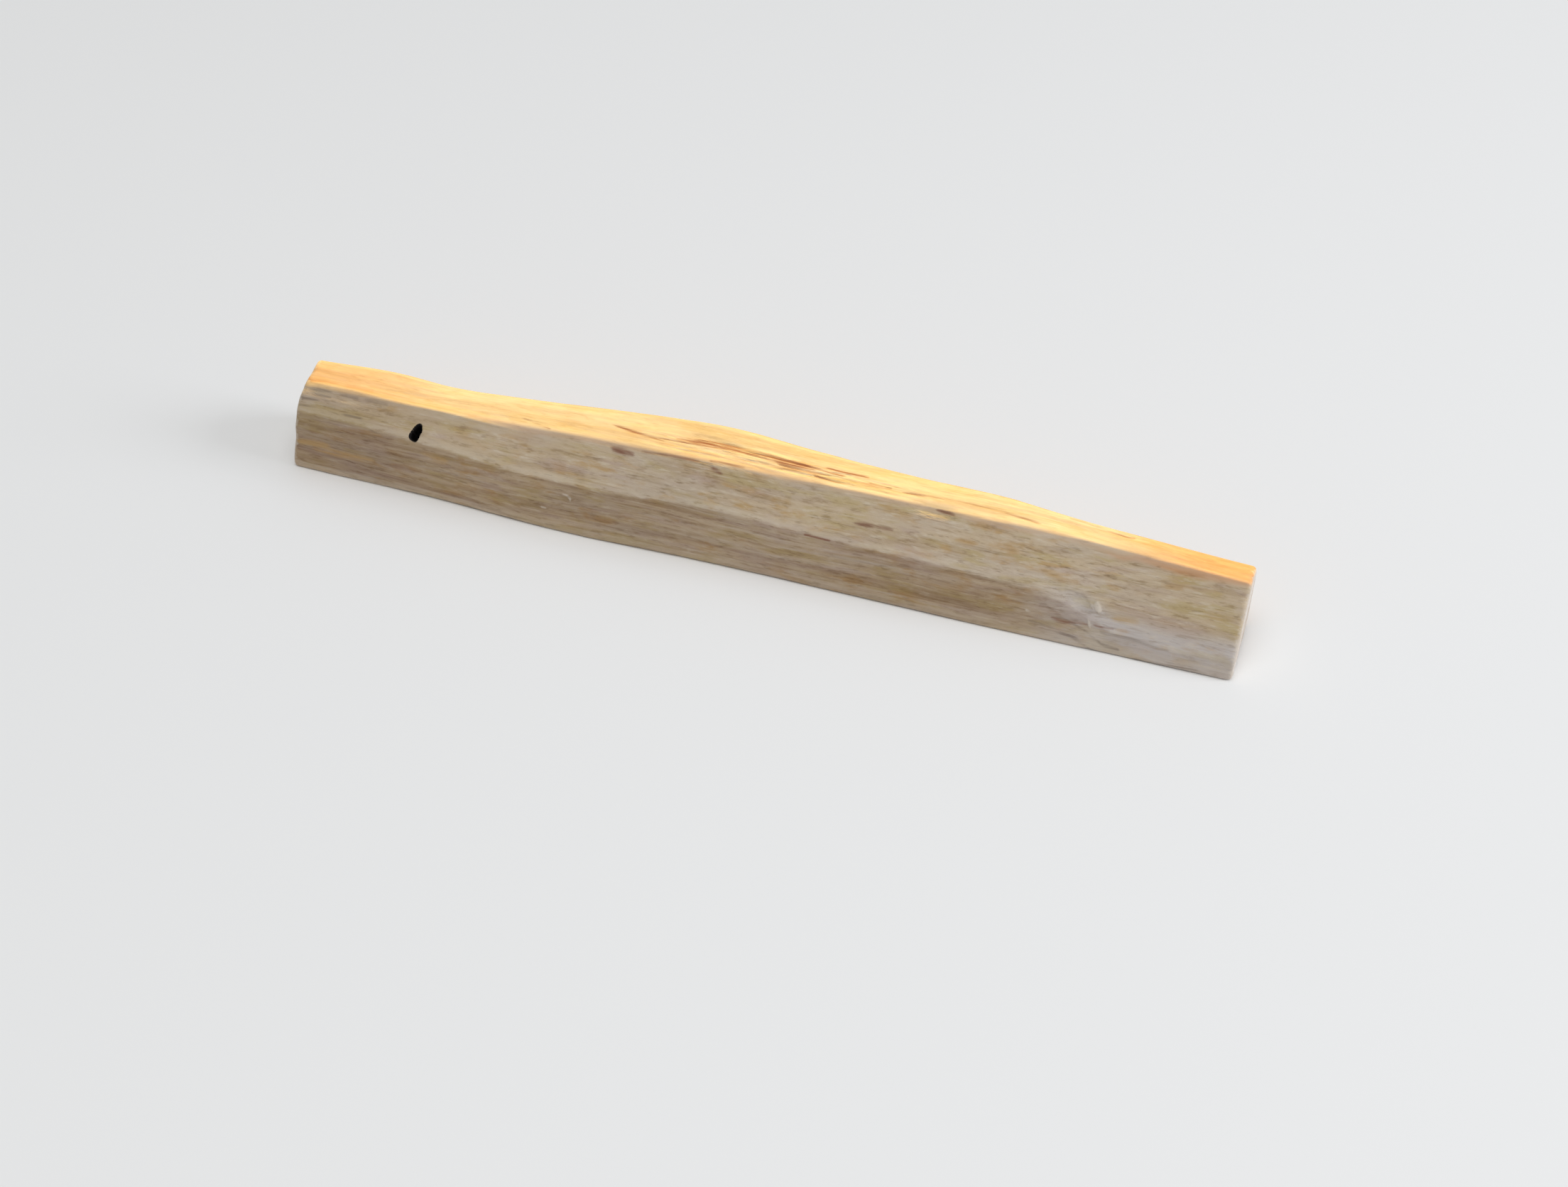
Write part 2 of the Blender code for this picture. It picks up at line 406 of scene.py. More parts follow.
flutes = grain_noise(base, 24, 2.2)
bundles = grain_noise(base, 9, 0.6, 7.3)
fibres = grain_noise(base, 3.5, 0.28, 3.1)
layers = smooth_step(0.14, 0.22, grain_noise(base, 10, 1.1, 11.7) + 0.12 * fibres)
relief = FLUTE_HEIGHT * flutes + BUNDLE_HEIGHT * bundles + FIBRE_HEIGHT * fibres
relief += LAYER_HEIGHT * (layers - 0.3)
print("relief from", round(relief.min(), 3), "to", round(relief.max(), 3), "mm")

# %% [markdown]
# ### The ridge and the long corner
#
# The blade left the ridge crisp, with a thin layer that laps over the lower side. It also
# left a sharp long corner between the upper front side and the top. The solid's corner is
# rounder than that, so a little wood is filled in along it, most of all at the left, where
# the wood beside the corner is calm and the border between light and shade is cleanest.

# %% The lapped ridge
LAP_HEIGHT = 0.10
LAP_GROOVE = 0.05

lap = LAP_HEIGHT * np.exp(-((up - 0.25) / 0.45) ** 2)
lap -= LAP_GROOVE * np.exp(-((up + 0.35) / 0.30) ** 2)
upper_side = smooth_step(0.3, 0.8, up) * smooth_step(5.0, 4.4, up)
relief *= 1 - 0.45 * upper_side
relief += lap * smooth_step(37, 31, x) * (0.75 + 0.5 * grain_noise(base, 7, 3, 21))
print("the lap stands up to", round(float(lap.max()), 3), "mm high")

# %% The long corner
CORNER = [(-47.3, 3.3), (-38.3, 3.35), (-26.9, 3.8), (-15.4, 4.3), (-3.8, 4.2), (18.3, 4.7)]
CORNER += [(29, 4.8), (34, 5.6), (39.7, 7.15), (49.4, 7.1)]
CORNER_FILL = 0.06
LEFT_FILL = 0.17

from_corner = up - np.interp(x, *np.array(CORNER).T)
calm_corner = np.exp(-((from_corner + 0.25) / 0.70) ** 2) * smooth_step(-12, -20, x)
relief *= 1 - 0.80 * calm_corner
fill = CORNER_FILL + LEFT_FILL * smooth_step(-20, -32, x)
fill *= 0.3 + 0.7 * smooth_step(0.3, 2.5, to_end)[:, None]
relief += fill * smooth_step(31, 26, x) * np.clip(1 - np.abs(from_corner) / 1.3, 0, 1)
print("the corner is filled by up to", round(fill.max(), 2), "mm")

# %% [markdown]
# ### The top side
#
# In the middle of the top side the fibres were torn out in strands, so the relief is
# several times deeper there. The rest of the top is smoother than the other sides, and
# faint ripples run across it where the blade chattered. Towards the sawn ends all relief
# fades, which keeps the edges of the cuts even.

# %% Splinters and ripples
STRAND_HEIGHT = 0.07
TORN_BUNDLE_HEIGHT = 0.05
TORN_FIBRE_HEIGHT = 0.03
RIPPLE_HEIGHT = 0.010

splinter_zone = np.exp(-((x - 3) / 13) ** 4 - ((up - 6.6) / 1.5) ** 4)
torn = STRAND_HEIGHT * grain_noise(base, 3.6, 0.42, 31)
torn = torn + TORN_BUNDLE_HEIGHT * bundles + TORN_FIBRE_HEIGHT * fibres
relief += splinter_zone * torn

on_top = smooth_step(-0.2, 0.5, from_corner) * smooth_step(12.5, 11.0, up)
relief *= 1 - 0.5 * on_top * (1 - splinter_zone)
relief += RIPPLE_HEIGHT * on_top * grain_noise(base, 1.6, 5.0, 41)
relief *= (0.25 + 0.75 * smooth_step(0.0, 1.6, to_end))[:, None]
print("splintered zone covers", int((splinter_zone > 0.5).sum()), "points")

# %% [markdown]
# ## Marks that this stick has
#
# Each stick has its own marks: dark resin streaks and fine red ones on the top side, a
# reddish stain under the long corner, brown flecks, weathered grey lines near the ends,
# golden resin, short splits and pale torn places. A mark is a short line of points on the
# map, with half its width. The skin keeps, for each kind of mark, how many millimetres
# inside the mark's edge a point is. That value changes evenly over the surface, so the
# finish can draw a fibrous edge where it crosses 0.

# %% Draw a mark on the map
FAR_OUTSIDE = -1.5


def inside_mark(half_width, route):
    """How many mm inside a tapered line each point of the skin is."""
    route = np.array(route, float)
    inside = np.full(base.shape[:2], FAR_OUTSIDE)
    spans = np.linalg.norm(np.diff(route, axis=0), axis=1)
    starts = np.concatenate([[0], np.cumsum(spans)])
    for (ax, au), (bx, bu), span, start in zip(route[:-1], route[1:], spans, starts):
        t = np.clip(((x - ax) * (bx - ax) + (up - au) * (bu - au)) / span ** 2, 0, 1)
        away = np.hypot(x - ax - t * (bx - ax), up - au - t * (bu - au))
        halfway = 2 * (start + t * span) / starts[-1] - 1
        width = half_width * (0.3 + 0.7 * np.sqrt(np.clip(1 - halfway ** 2, 0, 1)))
        inside = np.maximum(inside, width - away)
    return inside


def inside_any(marks):
    """The same for several marks, each with its half width."""
    return np.max([inside_mark(*mark) for mark in marks], axis=0)


print("a point outside every mark keeps", FAR_OUTSIDE, "mm")

# %% Dark lines
DARK_LINES = [
    (0.20, [(-10.2, 6.80), (-6.2, 6.85), (-2.2, 6.85)]),
    (0.17, [(-8.6, 7.20), (-5.4, 7.22), (-1.6, 7.15)]),
    (0.16, [(-4.2, 6.95), (-1.1, 7.05), (1.2, 7.00)]),
    (0.14, [(-0.6, 7.26), (2.0, 7.31), (4.8, 7.28)]),
    (0.12, [(0.6, 6.86), (2.6, 6.84), (6.4, 6.92)]),
    (0.16, [(3.4, 7.25), (5.6, 7.25), (9.4, 7.05)]),
    (0.14, [(-15.6, 7.7), (-12.1, 6.95), (-9.6, 6.5)]),
    (0.10, [(-6.6, 7.65), (-3.2, 7.70), (-0.4, 7.60)]),
    (0.10, [(2.6, 6.40), (5.6, 6.40), (8.2, 6.50)]),
    (0.08, [(6.7, 6.0), (9.0, 5.9), (11.4, 6.1)]),
    (0.08, [(7.2, 7.9), (9.1, 7.75), (11.6, 7.8)]),
    (0.05, [(7.2, -0.30), (8.5, -0.28), (9.9, -0.25)]),
    (0.12, [(48.45, 6.2), (48.75, 6.2)]),
]
dark = inside_any(DARK_LINES)
print(len(DARK_LINES), "dark lines over", int((dark > 0).sum()), "points")

# %% Red lines and stains
RED_LINES = [
    (0.06, [(-24.6, 5.7), (-22.7, 5.4), (-21.3, 5.1)]),
    (0.34, [(-14.2, 4.25), (-13.2, 4.20), (-11.9, 3.98)]),
    (0.03, [(-11.0, 4.45), (-8.4, 4.5), (-5.0, 4.4)]),
    (0.02, [(-4.0, 4.6), (-0.3, 4.8)]),
    (0.18, [(-3.6, 3.9), (-2.3, 3.4)]),
    (0.09, [(12.0, 6.8), (14.4, 6.7)]),
    (0.10, [(15.8, 6.5), (18.6, 7.0), (22.5, 7.1)]),
    (0.15, [(22.0, 7.1), (25.9, 7.1), (29.6, 6.5)]),
    (0.08, [(32.0, 8.9), (35.6, 9.5), (38.7, 10.4)]),
    (0.12, [(12.0, 2.02), (13.9, 2.12)]),
    (0.05, [(14.4, 2.12), (15.8, 2.14)]),
    (0.04, [(17.2, 2.25), (18.5, 1.95)]),
    (0.14, [(19.6, 5.15), (21.2, 5.0)]),
    (0.12, [(36.9, -0.35), (38.7, 0.2)]),
    (0.07, [(32.8, -2.1), (34.1, -1.85), (36.2, -0.8)]),
]
red = inside_any(RED_LINES)
print(len(RED_LINES), "red lines over", int((red > 0).sum()), "points")

# %% Grey lines
GREY_LINES = [
    (0.08, [(-48.6, 1.30), (-46.8, 1.40)]),
    (0.08, [(-48.7, 0.55), (-46.6, 0.70)]),
    (0.10, [(-48.2, 2.45), (-45.6, 2.55)]),
    (0.06, [(-47.6, 1.85), (-45.4, 1.90)]),
    (0.08, [(-46.4, 0.95), (-44.6, 1.00)]),
    (0.08, [(-44.6, 2.40), (-42.4, 2.45)]),
    (0.06, [(-43.6, 0.50), (-41.4, 0.60)]),
    (0.06, [(-41.6, 2.60), (-39.0, 2.70)]),
    (0.10, [(30.4, -3.4), (35.0, -2.9), (38.0, -2.8)]),
    (0.08, [(37.6, -0.6), (41.0, -0.2), (44.5, -0.3)]),
    (0.08, [(41.0, -2.2), (44.0, -1.9), (47.6, -1.6)]),
    (0.07, [(35.0, -4.4), (39.0, -4.0), (42.0, -4.1)]),
    (0.08, [(33.0, -1.7), (36.0, -1.5), (39.6, -1.6)]),
    (0.07, [(40.2, -3.2), (43.5, -3.0), (46.4, -3.1)]),
]
grey = inside_any(GREY_LINES)
print(len(GREY_LINES), "grey lines over", int((grey > 0).sum()), "points")

# %% Golden lines
GOLDEN_LINES = [
    (0.35, [(-49.0, -3.8), (-47.1, -3.6), (-45.2, -3.5)]),
    (0.35, [(-47.0, -4.2), (-44.0, -4.3), (-40.0, -3.9)]),
    (0.30, [(-34.2, -1.3), (-31.5, -1.4)]),
    (0.30, [(30.5, 1.85), (33.0, 1.95), (34.6, 2.4)]),
    (0.30, [(37.3, 4.1), (38.5, 4.2)]),
    (0.32, [(20.8, 1.75), (21.8, 1.5)]),
    (0.32, [(22.2, 2.7), (24.2, 2.8)]),
    (0.22, [(38.5, 1.3), (41.0, 1.7)]),
    (0.16, [(39.0, 0.15), (40.2, 0.33)]),
]
golden = inside_any(GOLDEN_LINES)
print(len(GOLDEN_LINES), "golden lines over", int((golden > 0).sum()), "points")

# %% Pale torn places
PALE_LINES = [
    (0.38, [(36.8, 1.85), (36.85, 1.45), (37.1, 1.05)]),
    (0.12, [(36.2, -0.2), (36.5, -0.9)]),
    (0.10, [(-18.5, -1.35), (-18.0, -1.40), (-17.6, -1.70), (-17.5, -2.15)]),
    (0.09, [(-20.9, -3.3), (-20.2, -3.35)]),
    (0.12, [(30.0, -2.4), (30.5, -2.5)]),
    (0.06, [(41.8, 0.0), (42.05, -0.7)]),
    (0.05, [(44.5, -0.2), (44.7, -0.8)]),
]
pale = inside_any(PALE_LINES)
print(len(PALE_LINES), "pale places over", int((pale > 0).sum()), "points")

# %% [markdown]
# ### What the marks do to the surface
#
# Dark lines are narrow splits, and so are the red ones on the top, but shallower. Pale
# places are thin curls of wood that stand up where fibres tore. At the far end of the ridge
# the blade lifted a whole flake and left a shallow bay behind it, and beside the long
# corner it tore out a short wedge. The solid has both bites, and the skin gives them a
# crisper edge.

# %% Splits, curls, the bay and the wedge
SPLIT_DEPTH = 0.03
RED_SPLIT_DEPTH = 0.02
CURL_HEIGHT = 0.16
BAY_DEPTH = 0.17
WEDGE_DEPTH = 0.22

relief -= SPLIT_DEPTH * smooth_step(-0.10, 0.16, dark)
relief -= RED_SPLIT_DEPTH * smooth_step(-0.10, 0.12, red) * on_top
relief += CURL_HEIGHT * smooth_step(-0.05, 0.16, pale)

inside_bay = inside_mark(0.85, [(33.2, 0.55), (34.6, 0.65), (36.2, 0.75)])
relief -= BAY_DEPTH * smooth_step(-0.05, 0.16, inside_bay) * smooth_step(31.5, 35.0, x)
wedge = smooth_step(3.9, 5.0, up) * smooth_step(6.3, 5.2, up)
relief -= WEDGE_DEPTH * wedge * smooth_step(16.0, 18.6, x) * smooth_step(22.2, 20.2, x)
print("relief from", round(relief.min(), 3), "to", round(relief.max(), 3), "mm")

# %% [markdown]
# ## The beetle's hole
#
# A small beetle bored straight into the upper front side. The hole is a leaning oval with
# rather square corners, about 0.9 mm wide and 1.7 mm long. Its wall and a thin ring round its
# rim are painted near black, as painted shade of the deep hole. Points inside the oval move
# straight in along the bore. A grid that is cut by an oval leaves a rim like the teeth of a
# comb, so the points beside the rim are first gathered onto it. The wall is steep, which is
# why the rings stand close together here.

# %% Find the points inside the oval
HOLE_HALF_WIDTH = 0.45
HOLE_HALF_HEIGHT = 0.87
HOLE_SQUARENESS = 2.6
HOLE_LEAN = math.radians(17)
HOLE_TILT = math.radians(50)
# further out than this many half widths, the hole is not felt
HOLE_FELT = 2.0

bore = np.array((0, -math.cos(HOLE_TILT), math.sin(HOLE_TILT)))
straight_up = math.cos(HOLE_LEAN) * np.array((math.sin(HOLE_TILT), math.cos(HOLE_TILT)))
up_side = np.array((math.sin(HOLE_LEAN), *straight_up))
across_side = np.cross(up_side, bore)

from_hole = base - HOLE
across_hole, up_hole = from_hole @ across_side, from_hole @ up_side
half_width = HOLE_HALF_WIDTH * (1.05 - 0.22 * up_hole / HOLE_HALF_HEIGHT)
across_share, up_share = np.abs(across_hole / half_width), np.abs(up_hole / HOLE_HALF_HEIGHT)
in_oval = across_share ** HOLE_SQUARENESS + up_share ** HOLE_SQUARENESS
in_oval = in_oval ** (1 / HOLE_SQUARENESS)
in_oval += 0.04 * grain_noise(base, 0.7, 0.7, 5.5)
near_bore = np.abs(from_hole @ bore) < 3
in_oval = np.where(near_bore, np.clip(in_oval, 0.01, HOLE_FELT), HOLE_FELT)
print("the oval takes in", int((in_oval < 1).sum()), "points")

# %% Gather the rim and drill
HOLE_DEPTH = 1.9
# where points stand, in half widths of the oval, and where each of those is moved to
RIM_BEFORE = (0.0, 0.76, 1.06, 1.35, HOLE_FELT)
RIM_AFTER = (0.0, 0.96, 1.00, 1.35, HOLE_FELT)

hole = 1 - smooth_step(0.80, 1.04, in_oval)
gathered = np.interp(in_oval, RIM_BEFORE, RIM_AFTER)
gather = across_hole[..., None] * across_side + up_hole[..., None] * up_side
gather *= (gathered / in_oval - 1)[..., None]
print("the hole takes in", int((hole > 0.5).sum()), "points")

# %% Move the skin to its relief
points = base + normals * relief[..., None] + gather - bore * (HOLE_DEPTH * hole)[..., None]
points[..., 2] = np.maximum(points[..., 2], 0.0)
print("lowest point", round(float(points[..., 2].min()), 4), "mm")

# %% [markdown]
# ## The sawn ends
#
# A saw tears the ends of the fibres, so end grain is rough and pale with dust. Each end is
# closed with smaller and smaller rings on the plane of the cut, with a fine random roughness
# and the faint straight scratches of the saw.

# %% Close the ends
END_RINGS = np.array((0.97, 0.93, 0.88, 0.82, 0.75, 0.67, 0.58, 0.48, 0.37, 0.26, 0.15, 0.06))
TORN_HEIGHT = 0.02
SCRATCH_HEIGHT = 0.03
# the rough ends lie this far inside the plane of the cut
END_INSET = 0.03


def end_cap(rim, plane, direction):
    """Rings of points from the rim to the middle of a sawn end."""
    middle = np.array((0, *CORE))
    caps = []
    for size in END_RINGS:
        ring = middle + (rim - middle) * size
        ring[:, 0] = plane[0] + plane[1] * ring[:, 1] + plane[2] * ring[:, 2]
        rough = TORN_HEIGHT * grain_noise(ring, 0.5, 0.5, 2.0)
        rough += SCRATCH_HEIGHT * grain_noise(ring * (1, 1, 0.12), 9, 0.5, 8.0)
        ring[:, 0] += direction * (rough - END_INSET)
        caps.append(ring)
    centre = middle.copy()
    centre[0] = plane @ (1, *CORE) - direction * END_INSET
    return np.array(caps), centre


left_cap, left_centre = end_cap(points[0], left_end, -1)
right_cap, right_centre = end_cap(points[-1], right_end, 1)
sheet = np.concatenate([left_cap[::-1], points, right_cap])
print("the skin has", len(sheet), "rings in all")

# %% Make the mesh
all_points = np.concatenate([sheet.reshape(-1, 3), [left_centre, right_centre]]) * MM
ring_starts = np.arange(len(sheet) - 1)[:, None] * AROUND
corner = (ring_starts + np.arange(AROUND)).ravel()
next_round = (ring_starts + (np.arange(AROUND) + 1) % AROUND).ravel()
quads = np.stack([corner, next_round, next_round + AROUND, corner + AROUND], axis=1).tolist()

first, last = np.arange(AROUND), (len(sheet) - 1) * AROUND + np.arange(AROUND)
left_tip, right_tip = len(all_points) - 2, len(all_points) - 1
tips = [(left_tip, int(b), int(a)) for a, b in zip(first, np.roll(first, -1))]
tips += [(right_tip, int(a), int(b)) for a, b in zip(last, np.roll(last, -1))]

skin_mesh = bpy.data.meshes.new("split_wood")
skin_mesh.from_pydata(all_points.tolist(), [], quads + tips)
skin_mesh.shade_smooth()
skin = bpy.data.objects.new("split_wood", skin_mesh)
bpy.context.scene.collection.objects.link(skin)
print("the skin has", 2 * len(quads) + len(tips), "triangles")

# %% [markdown]
# ### What the skin remembers
#
# The finish needs to know where the marks are, how far above the ridge a point is, where the
# long corners are worn pale and which part is end grain. It also needs the regions where light
# and shade are painted into the colour: the right end of the lower side is painted lighter
# and greyer as painted cool light, the front sides near the left end and the back are painted
# darker as painted shade, and the top is painted warmer at its two ends and along the corner
# as painted warm light. Each is a number stored at every point of the mesh, called an
# attribute, which the material reads by its name.
# region too: the right end of the lower side has greyed in the air, the left end has grown
# dull, and the top is richest in resin at its two ends and along the corner. Each is a number
# stored at every point of the mesh, called an attribute, which the material reads by its name.

# %% Work out the regions
turned_by = 1 - np.sum(np.roll(normals, 4, axis=1) * np.roll(normals, -4, axis=1), axis=-1)
turned_by = blend(turned_by, bell(8, 3.0), axis=0, wraps=False)
facing_back = normals[..., 1]
worn = smooth_step(0.03, 0.22, turned_by) * (1 - smooth_step(0.2, 0.7, facing_back))

from_end = np.repeat(to_end[:, None], AROUND, axis=1)
# painted cool light: the right end of the lower side is painted lighter and greyer
painted_cool_light = smooth_step(28, 38, x) * smooth_step(2.6, 0.6, up) * smooth_step(-9, -7, up)
# painted shade: the front sides are darker towards the left end
painted_left_shade = smooth_step(-28, -44, x) * (1 - on_top) * smooth_step(0.6, 0.2, facing_back)
# painted warm light: the top is tinted warmer at its two ends and along the corner
painted_warm_light = 0.45 * smooth_step(-32, -44, x) + 0.9 * smooth_step(34, 47, x)
painted_warm_light += 0.35 * np.exp(-((from_corner - 0.4) / 0.35) ** 2)
painted_warm_light = on_top * np.minimum(painted_warm_light, 1.0)
smooth_side = np.maximum(on_top * (1 - 0.75 * splinter_zone), calm_corner)
print("painted_cool_light", int((painted_cool_light > 0.5).sum()), "and dulled", int((painted_left_shade > 0.5).sum()), "points")

# %% Store them on the mesh
def remember(name, values, at_ends):
    """Store one number for each point, with a fixed number on the sawn ends."""
    caps = np.full((len(END_RINGS), AROUND), at_ends)
    whole = np.concatenate([caps, values, caps]).ravel()
    whole = np.concatenate([whole, [at_ends, at_ends]]).astype(np.float32)
    skin_mesh.attributes.new(name, "FLOAT", "POINT").data.foreach_set("value", whole)


remember("dark_line", dark, FAR_OUTSIDE)
remember("red_line", red, FAR_OUTSIDE)
remember("grey_line", grey, FAR_OUTSIDE)
remember("golden_line", golden, FAR_OUTSIDE)
remember("torn_pale", pale, FAR_OUTSIDE)
remember("bore_hole", 1 - gathered, 1 - HOLE_FELT)
remember("worn_corner", worn, 0.0)
remember("above_ridge", np.clip(up, -8, 8), 8.0)
remember("from_end", np.minimum(from_end, 5.0), 0.0)
remember("painted_cool_light", painted_cool_light, 0.0)
remember("splintered", splinter_zone, 0.0)
remember("painted_warm_light", painted_warm_light, 0.0)
# painted shade on the back, which faces the warm lamp
remember("painted_back_shade", smooth_step(0.10, 0.80, facing_back), 0.0)
remember("painted_left_shade", painted_left_shade, 0.0)
remember("smooth_side", smooth_side, 0.0)
remember("sawn_end", smooth_step(0.12, 0.0, from_end), 1.0)
print("the mesh stores", [a.name for a in skin_mesh.attributes if a.data_type == "FLOAT"])

# %% [markdown]
# ## The wood
#
# Palo santo, split and left to dry, is straw to cream coloured, with olive brown bands,
# golden resin patches and fine dark pores, and it greys a little in the air. Its surface is
# dry and matt, with a roughness near 0.75, and the default IOR of 1.5 suits wood.
#
# A tree grows in rings, so its patterns follow three directions: along the trunk, out from
# its middle and round the rings. The middle of this log was below and behind the stick. The
# upper front side therefore runs along the rings and looks mottled, while the lower side and
# the top cut across them and show fine lines. Every pattern below is given as three lengths
# in millimetres, one for each direction, and runs on into the sawn ends as dots and arcs.

# %% A material and a helper
wood = bpy.data.materials.new("split_palo_santo")
wood.use_nodes = True
wood_nodes, wood_links = wood.node_tree.nodes, wood.node_tree.links
surface = wood_nodes["Principled BSDF"]


def add(kind, sockets=(), output=0, **settings):
    """Add a node with its settings. Its sockets, in order or by name, get values or links."""
    made = wood_nodes.new("ShaderNode" + kind)
    for name, value in settings.items():
        setattr(made, name, value)
    sockets = sockets if isinstance(sockets, dict) else dict(enumerate(sockets))
    for socket, value in sockets.items():
        if isinstance(value, bpy.types.NodeSocket):
            wood_links.new(value, made.inputs[socket])
        else:
            made.inputs[socket].default_value = value
    return made.outputs[output]


stored = {
    attribute.name: add("Attribute", output="Fac", attribute_name=attribute.name)
    for attribute in skin_mesh.attributes
    if attribute.data_type == "FLOAT"
}
print("the finish reads", len(stored), "stored numbers")

# %% Place along, out and round
WANDER = 0.9
WANDER_LENGTH = 30.0
WANDER_WIDTH = 12.5
TRUNK_MIDDLE = (0.0, 22.0, -28.0)
RING_RADIUS = 39.0

in_metres = add("TexCoord", output="Object")
in_mm = add("VectorMath", {0: in_metres, "Scale": 1 / MM}, operation="SCALE")
wander_scale = (1 / WANDER_LENGTH, 1 / WANDER_WIDTH, 1 / WANDER_WIDTH)
stretched = add("Mapping", {"Vector": in_mm, "Scale": wander_scale})
slow = add("TexNoise", {"Vector": stretched, "Scale": 1.0, "Detail": 1.5}, output="Color")
centred = add("VectorMath", [slow, (0.5, 0.5, 0.5)], operation="SUBTRACT")
push = add("VectorMath", {0: centred, "Scale": 2 * WANDER}, operation="SCALE")
bent = add("VectorMath", [in_mm, push], operation="ADD")

from_middle = add("VectorMath", [bent, TRUNK_MIDDLE], operation="SUBTRACT")
down_trunk, side_y, side_z = [add("SeparateXYZ", [from_middle], axis) for axis in "XYZ"]
across_trunk = add("VectorMath", [from_middle, (0, 1, 1)], operation="MULTIPLY")
out = add("VectorMath", [across_trunk], output="Value", operation="LENGTH")
turn = add("Math", [side_z, side_y], operation="ARCTAN2")
round_rings = add("Math", [turn, RING_RADIUS], operation="MULTIPLY")
grain_place = add("CombineXYZ", [down_trunk, out, round_rings])
print("the stick grew about", RING_RADIUS, "mm from the middle of the log")

# %% [markdown]
# ### How the colours are laid
#
# Each tone is washed over the last one. A wash asks a pattern, or a number that the skin
# remembers, how much of its colour shows at a point, and it may be held back by limits, such
# as a region of the stick. An edge that follows a stored number would be a clean curve, so
# it is roughened by a fibre pattern first.

# %% Patterns, washes and ragged edges
def pattern(along, outwards, around, detail=2.0, rough=0.5, shift=0.0):
    """Noise from 0 to 1 that goes from light to dark and back in about these lengths in mm."""
    scale = (1 / along, 1 / outwards, 1 / around)
    squeezed = add("Mapping", {"Vector": grain_place, "Scale": scale, "Location": (shift,) * 3})
    return add("TexNoise", {"Vector": squeezed, "Scale": 1.0, "Detail": detail, "Roughness": rough})


def wash(under, over, place, start=0.0, full=1.0, most=1.0, least=0.0,
         within=(), fade="SMOOTHSTEP", blend_type="MIX"):
    """Lay a colour over another: least of it where place is at start, most where it is at full."""
    shown = add("MapRange", [place, start, full, least, most], interpolation_type=fade)
    for limit in within:
        shown = add("Math", [shown, limit], operation="MULTIPLY")
    # the colours of a Mix node are its inputs 6 and 7, and its output 2
    return add("Mix", {0: shown, 6: under, 7: over}, 2, data_type="RGBA", blend_type=blend_type)


def roughen(value, fibres, depth):
    """A value that a pattern moves up and down by as much as half of depth."""
    centred = add("Math", [fibres, 0.5], operation="SUBTRACT")
    return add("Math", [centred, depth, value], operation="MULTIPLY_ADD")


print("helpers ready")

# %% The main tones
STRAW = linear("#D6C1A4")
OLIVE_BROWN = linear("#B2976F")
LINE_BROWN = linear("#9C7F5B")
# a grey for random weathering, also used as painted cool light at the right end
GREY_AND_COOL_LIGHT = linear("#D0C8C4")

bands = pattern(90, 1.6, 22)
colour = wash(STRAW, OLIVE_BROWN, bands, 0.42, 0.64, most=0.18)
lines = pattern(18, 0.65, 2.6, detail=3.0, rough=0.6, shift=12)
colour = wash(colour, LINE_BROWN, lines, 0.46, 0.66, most=0.34)

weather = pattern(15, 4.0, 2.6, shift=40)
in_patches = add("MapRange", [weather, 0.46, 0.66, 0.0, 0.22], interpolation_type="SMOOTHSTEP")
# random grey weathering, plus painted cool light at the right end of the lower side
at_the_end = add("Math", [stored["painted_cool_light"], 0.85], operation="MULTIPLY")
weather_and_cool_light = add("Math", [in_patches, at_the_end], operation="MAXIMUM")
colour = wash(colour, GREY_AND_COOL_LIGHT, weather_and_cool_light, fade="LINEAR")
print("main tones laid")

# %% Golden mottling, with olive and mauve tints
GOLDEN = linear("#C39A5C")
OLIVE = linear("#C4AE76")
MAUVE = linear("#C2ABA0")

# the smooth top side and the calm corner show less of the patterns that follow
quiet = add("MapRange", [stored["smooth_side"], 0.0, 1.0, 1.0, 0.45], interpolation_type="SMOOTHSTEP")
clouds = pattern(8, 2.5, 2.2, detail=1.0, shift=20)
in_clouds = add("MapRange", [clouds, 0.32, 0.60], interpolation_type="SMOOTHSTEP")
flecks = pattern(3.6, 1.4, 1.1, detail=3.0, rough=0.6, shift=50)
colour = wash(colour, GOLDEN, flecks, 0.50, 0.68, most=0.60, within=[in_clouds, quiet])
tint = pattern(7, 0.9, 1.6, detail=3.0, rough=0.6, shift=170)
colour = wash(colour, OLIVE, tint, 0.50, 0.66, most=0.55, within=[quiet])
colour = wash(colour, MAUVE, tint, 0.48, 0.34, most=0.45, within=[quiet])
print("mottling laid")

# %% Fibres and pores
PALE_FIBRE = linear("#E4D6C0")
DARK_FIBRE = linear("#957853")
PORE = linear("#7A5B3B")

# fibres are 0.02 mm wide and pores 0.1 mm, too fine to show, so bundles of them are drawn
fine = pattern(2.0, 0.45, 0.45, detail=3.0, rough=0.65, shift=60)
colour = wash(colour, PALE_FIBRE, fine, 0.52, 0.74, most=0.55, within=[quiet])
colour = wash(colour, DARK_FIBRE, fine, 0.48, 0.26, most=0.55, within=[quiet])
pores = pattern(1.5, 0.26, 0.26, detail=1.0, shift=80)
colour = wash(colour, PORE, pores, 0.64, 0.76, most=0.28, within=[quiet])
hairs = pattern(7, 0.20, 0.20, detail=2.0, rough=0.6, shift=150)
colour = wash(colour, LINE_BROWN, hairs, 0.56, 0.70, most=0.40, within=[quiet])
colour = wash(colour, PALE_FIBRE, hairs, 0.42, 0.30, most=0.35, within=[quiet])
print("fibres and pores laid")

